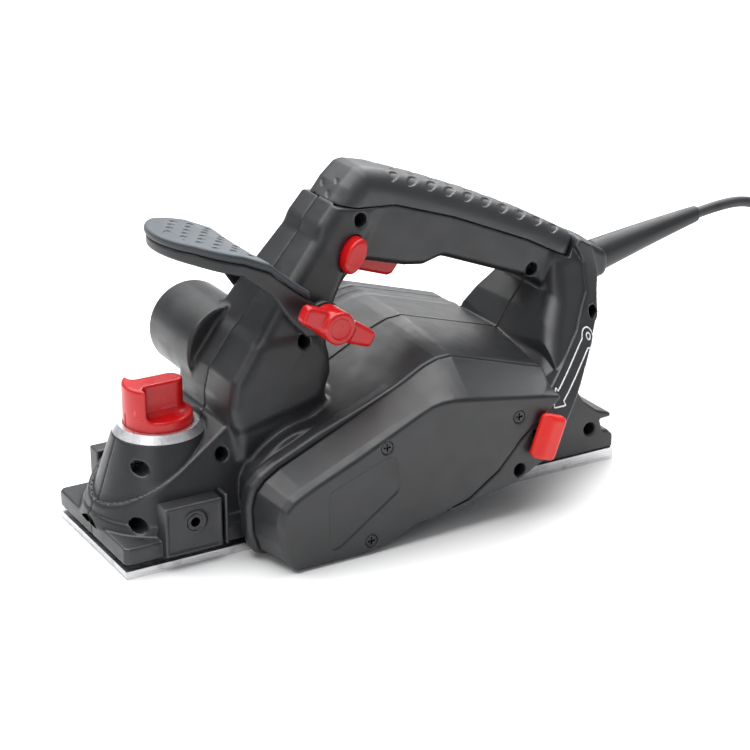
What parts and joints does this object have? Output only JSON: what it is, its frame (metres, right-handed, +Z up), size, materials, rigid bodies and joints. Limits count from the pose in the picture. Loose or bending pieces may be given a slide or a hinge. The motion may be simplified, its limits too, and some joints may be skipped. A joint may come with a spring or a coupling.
{
  "type": "electric hand planer",
  "caption": "Electric hand planer with belt-driven cutter drum, turn-knob depth setting, tilting palm rest, top handle with trigger, chip outlet and mains lead.",
  "frame": {"origin": "on the rear sole's bottom face, at mid-width, straight below the motor's axis", "axes": "+X towards the rear, where the lead leaves; -Y is the belt side; +Z up from the soles"},
  "size_m": [0.603, 0.2072, 0.1788],
  "materials": {
    "housing_plastic": "fine moulded texture, charcoal black",
    "grip_rubber": "soft matt rubber with small dimples",
    "red_plastic": "satin red",
    "wrench_grip_red": "satin orange red",
    "sole_aluminium": "milled and brushed along the sole",
    "scale_silver": "silver with engraved ticks",
    "zinc_steel": "dark zinc",
    "bright_steel": "ground steel",
    "spring_steel": "spring wire",
    "clamp_aluminium": "extruded",
    "pulley_aluminium": "turned",
    "belt_rubber": "ribbed belt rubber",
    "lamination_steel": "stacked laminations",
    "winding_copper": "varnished copper",
    "brass": "pressed brass",
    "carbon": "carbon",
    "fan_plastic": "natural nylon",
    "switch_plastic": "switch case",
    "capacitor_film": "film capacitor",
    "palm_plastic": "fine moulded texture",
    "palm_rubber": "soft blue-grey rubber with small dimples",
    "cord_rubber": "mains cable rubber",
    "plug_plastic": "moulded plug"
  },
  "bodies": {
    "planer_body": {"housing_left": "housing_plastic", "housing_right": "housing_plastic", "motor_end_cap": "housing_plastic", "belt_cover": "housing_plastic", "handle_grip": "grip_rubber", "rear_sole": "sole_aluminium", "depth_scale_ring": "scale_silver", "housing_screws": "zinc_steel", "belt_cover_screws": "zinc_steel", "end_cap_screws": "zinc_steel", "rear_sole_screws": "zinc_steel", "cord_clamp_screws": "zinc_steel", "palm_rest_bolt": "zinc_steel", "fence_nuts": "zinc_steel", "drum_bearing_left": "bright_steel", "drum_bearing_right": "bright_steel", "motor_bearing_left": "bright_steel", "motor_bearing_right": "bright_steel", "trigger_pin": "bright_steel", "front_sole_springs": "spring_steel", "brush_springs": "spring_steel", "trigger_spring": "spring_steel", "lock_spring": "spring_steel", "drive_belt": "belt_rubber", "stator_core": "lamination_steel", "field_windings": "winding_copper", "brush_holders": "brass", "plug_pins": "brass", "carbon_brushes": "carbon", "cord_clamp": "fan_plastic", "switch_module": "switch_plastic", "capacitor": "capacitor_film", "strain_relief": "cord_rubber", "mains_cord": "cord_rubber", "cord_coil": "cord_rubber", "mains_plug": "plug_plastic"},
    "cutter": {"cutter_drum": "sole_aluminium", "blade_1": "bright_steel", "blade_2": "bright_steel", "blade_clamps": "clamp_aluminium", "clamp_screws": "zinc_steel", "drum_pulley": "pulley_aluminium"},
    "armature": {"armature_shaft": "bright_steel", "armature_core": "lamination_steel", "armature_windings": "winding_copper", "commutator": "winding_copper", "cooling_fan": "fan_plastic", "motor_pulley": "pulley_aluminium"},
    "sole_front": {"front_sole": "sole_aluminium"},
    "depth_screw": {"depth_spindle": "bright_steel", "depth_knob": "red_plastic"},
    "trigger_lever": {"trigger": "red_plastic", "switch_plunger": "switch_plastic"},
    "lock_pin": {"lock_button": "red_plastic"},
    "palm_rest": {"palm_rest_base": "palm_plastic", "palm_rest_pad": "palm_rubber"},
    "clamp_wing": {"wing_knob": "red_plastic"},
    "blade_wrench": {"wrench_blade": "bright_steel", "wrench_grip": "wrench_grip_red"}
  },
  "joints": [
    {"name": "drum_spin", "type": "hinge", "parent": "planer_body", "child": "cutter", "pos_m": [-0.077, 0, 0.0283], "axis": [0, 1, 0], "continuous": true},
    {"name": "motor_spin", "type": "hinge", "parent": "planer_body", "child": "armature", "pos_m": [0, 0, 0.055], "axis": [0, 1, 0], "continuous": true},
    {"name": "depth_adjust", "type": "hinge", "parent": "planer_body", "child": "depth_screw", "pos_m": [-0.1393, 0, 0.0576], "axis": [0, 0, 1], "range_deg": [0, 300]},
    {"name": "front_sole_lift", "type": "slide", "parent": "planer_body", "child": "sole_front", "axis": [0, 0, 1], "range_m": [0, 0.002], "deforming": ["front_sole_springs"]},
    {"name": "trigger_press", "type": "hinge", "parent": "planer_body", "child": "trigger_lever", "pos_m": [-0.0255, 0, 0.1345], "axis": [0, -1, 0], "range_deg": [0, 7], "stiffness_Nm_per_rad": 0.5, "springref_deg": -3.44, "deforming": ["trigger_spring"]},
    {"name": "lock_press", "type": "slide", "parent": "planer_body", "child": "lock_pin", "axis": [0, 1, 0], "range_m": [0, 0.003], "stiffness_N_per_m": 400, "springref_m": -0.002, "deforming": ["lock_spring"]},
    {"name": "palm_rest_tilt", "type": "hinge", "parent": "planer_body", "child": "palm_rest", "pos_m": [-0.062, 0, 0.111], "axis": [0, 1, 0], "range_deg": [-18, 15]},
    {"name": "wing_turn", "type": "hinge", "parent": "planer_body", "child": "clamp_wing", "pos_m": [-0.062, 0, 0.111], "axis": [0, 1, 0], "continuous": true},
    {"name": "wrench_draw", "type": "slide", "parent": "planer_body", "child": "blade_wrench", "axis": [0, -1, 0], "range_m": [0, 0.095]}
  ],
  "couplings": [
    {"joint": "motor_spin", "follows": "drum_spin", "ratio": 1.4286},
    {"joint": "depth_adjust", "follows": "front_sole_lift", "rad_per_m": 2618}
  ]
}
